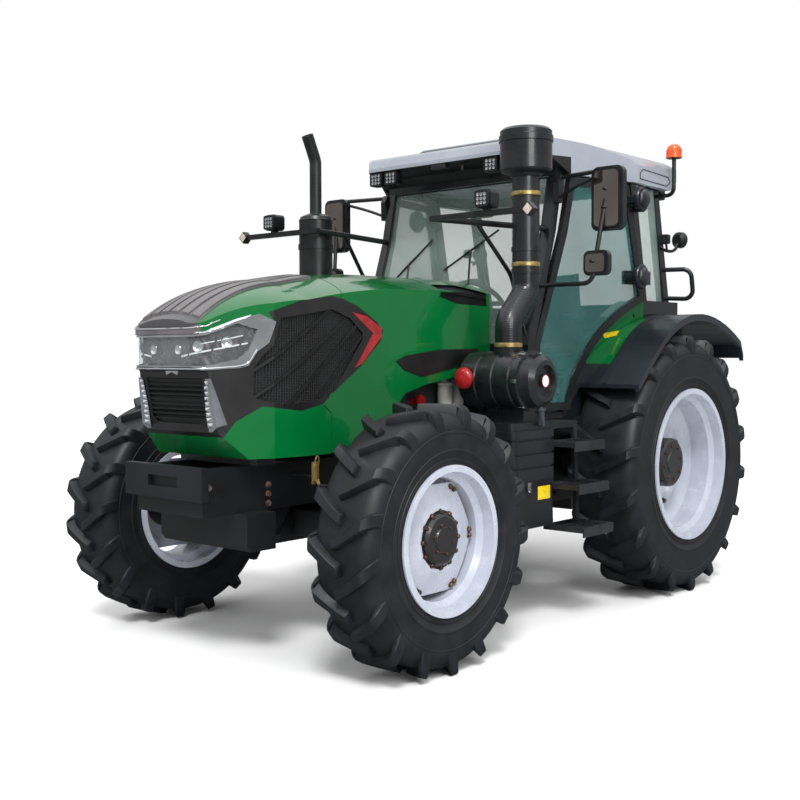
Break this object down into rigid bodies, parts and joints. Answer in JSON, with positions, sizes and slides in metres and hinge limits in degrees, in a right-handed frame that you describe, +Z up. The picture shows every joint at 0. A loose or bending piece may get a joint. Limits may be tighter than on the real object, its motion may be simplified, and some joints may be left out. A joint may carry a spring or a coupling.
{
  "type": "farm tractor",
  "caption": "Four-wheel-drive farm tractor with closed cab, tilting bonnet, opening doors, steered front axle and rear three-point hitch.",
  "frame": {"origin": "on the ground under the middle of the whole machine", "axes": "+X to the tractor's left, +Y to its rear, +Z up; it drives towards -Y"},
  "size_m": [2.465, 4.5999, 3.0566],
  "materials": {
    "tyre_rubber": "matte, moulded",
    "rim_white": "gloss",
    "chassis_black": "semi-gloss",
    "engine_iron": "rough, painted",
    "body_green": "high gloss",
    "black_plastic": "fine grain",
    "trim_grey": "ribbed, satin",
    "grille_mesh": "open mesh",
    "lamp_lens": "clear lens",
    "roof_grey": "satin",
    "cab_glass": "tinted",
    "exhaust_black": "heat-proof satin",
    "lamp_black": "satin",
    "beacon_orange": "translucent",
    "seat_fabric": "woven",
    "link_steel": "worn"
  },
  "bodies": {
    "chassis": {"front_axle": "chassis_black", "front_frame": "chassis_black", "engine": "engine_iron", "transmission": "engine_iron", "rear_axle": "engine_iron", "exhaust": "exhaust_black", "air_cleaner": "black_plastic", "intake_stack": "black_plastic", "fuel_tanks": "black_plastic", "side_boxes": "chassis_black", "steps": "chassis_black", "fenders": "body_green", "fender_flares": "black_plastic", "cab_floor": "chassis_black", "cab_frame": "chassis_black", "cab_roof": "roof_grey", "cab_glass": "cab_glass", "seat": "seat_fabric", "dash_console": "black_plastic", "mirrors": "black_plastic", "work_lamps": "lamp_black", "beacon": "beacon_orange", "drawbar": "link_steel"},
    "bonnet": {"bonnet_shell": "body_green", "headlamps": "lamp_lens", "grilles": "grille_mesh", "bonnet_top_trim": "trim_grey"},
    "door_left": {"door_left_frame": "chassis_black", "door_left_glass": "cab_glass"},
    "door_right": {"door_right_frame": "chassis_black", "door_right_glass": "cab_glass"},
    "knuckle_left": {"knuckle_left": "chassis_black"},
    "knuckle_right": {"knuckle_right": "chassis_black"},
    "wheel_front_left": {"tyre_front_left": "tyre_rubber", "rim_front_left": "rim_white"},
    "wheel_front_right": {"tyre_front_right": "tyre_rubber", "rim_front_right": "rim_white"},
    "wheel_rear_left": {"tyre_rear_left": "tyre_rubber", "rim_rear_left": "rim_white"},
    "wheel_rear_right": {"tyre_rear_right": "tyre_rubber", "rim_rear_right": "rim_white"},
    "lower_links": {"lower_links": "link_steel"},
    "lift_arms": {"lift_arms": "link_steel"},
    "lift_rods": {"lift_rods": "link_steel"}
  },
  "joints": [
    {"name": "steer_left", "type": "hinge", "parent": "chassis", "child": "knuckle_left", "pos_m": [0.77, -1.425, 0.683], "axis": [0, 0, 1], "range_deg": [-35, 35]},
    {"name": "steer_right", "type": "hinge", "parent": "chassis", "child": "knuckle_right", "pos_m": [-0.77, -1.425, 0.683], "axis": [0, 0, 1], "range_deg": [-35, 35]},
    {"name": "spin_front_left", "type": "hinge", "parent": "knuckle_left", "child": "wheel_front_left", "pos_m": [1.01, -1.425, 0.683], "axis": [1, 0, 0], "continuous": true},
    {"name": "spin_front_right", "type": "hinge", "parent": "knuckle_right", "child": "wheel_front_right", "pos_m": [-1.01, -1.425, 0.683], "axis": [1, 0, 0], "continuous": true},
    {"name": "spin_rear_left", "type": "hinge", "parent": "chassis", "child": "wheel_rear_left", "pos_m": [0.935, 1.245, 0.866], "axis": [1, 0, 0], "continuous": true},
    {"name": "spin_rear_right", "type": "hinge", "parent": "chassis", "child": "wheel_rear_right", "pos_m": [-0.935, 1.245, 0.866], "axis": [1, 0, 0], "continuous": true},
    {"name": "bonnet_tilt", "type": "hinge", "parent": "chassis", "child": "bonnet", "pos_m": [0, -0.275, 2.01], "axis": [-1, 0, 0], "range_deg": [0, 45]},
    {"name": "door_left_hinge", "type": "hinge", "parent": "chassis", "child": "door_left", "pos_m": [0.905, 0.987, 2.36], "axis": [0, 0, 1], "range_deg": [0, 70]},
    {"name": "door_right_hinge", "type": "hinge", "parent": "chassis", "child": "door_right", "pos_m": [-0.905, 0.987, 2.36], "axis": [0, 0, -1], "range_deg": [0, 70]},
    {"name": "lower_link_lift", "type": "hinge", "parent": "chassis", "child": "lower_links", "pos_m": [0, 1.48, 0.61], "axis": [1, 0, 0], "range_deg": [-20, 35]},
    {"name": "lift_arm_turn", "type": "hinge", "parent": "chassis", "child": "lift_arms", "pos_m": [0, 1.5, 1.02], "axis": [1, 0, 0], "range_deg": [-20, 35]},
    {"name": "lift_rod_turn", "type": "hinge", "parent": "lift_arms", "child": "lift_rods", "pos_m": [0, 1.95, 1.02], "axis": [1, 0, 0], "range_deg": [-35, 20]}
  ],
  "couplings": [
    {"joint": "steer_right", "follows": "steer_left", "ratio": 1},
    {"joint": "lift_arm_turn", "follows": "lower_link_lift", "ratio": 1},
    {"joint": "lift_rod_turn", "follows": "lower_link_lift", "ratio": -1}
  ]
}
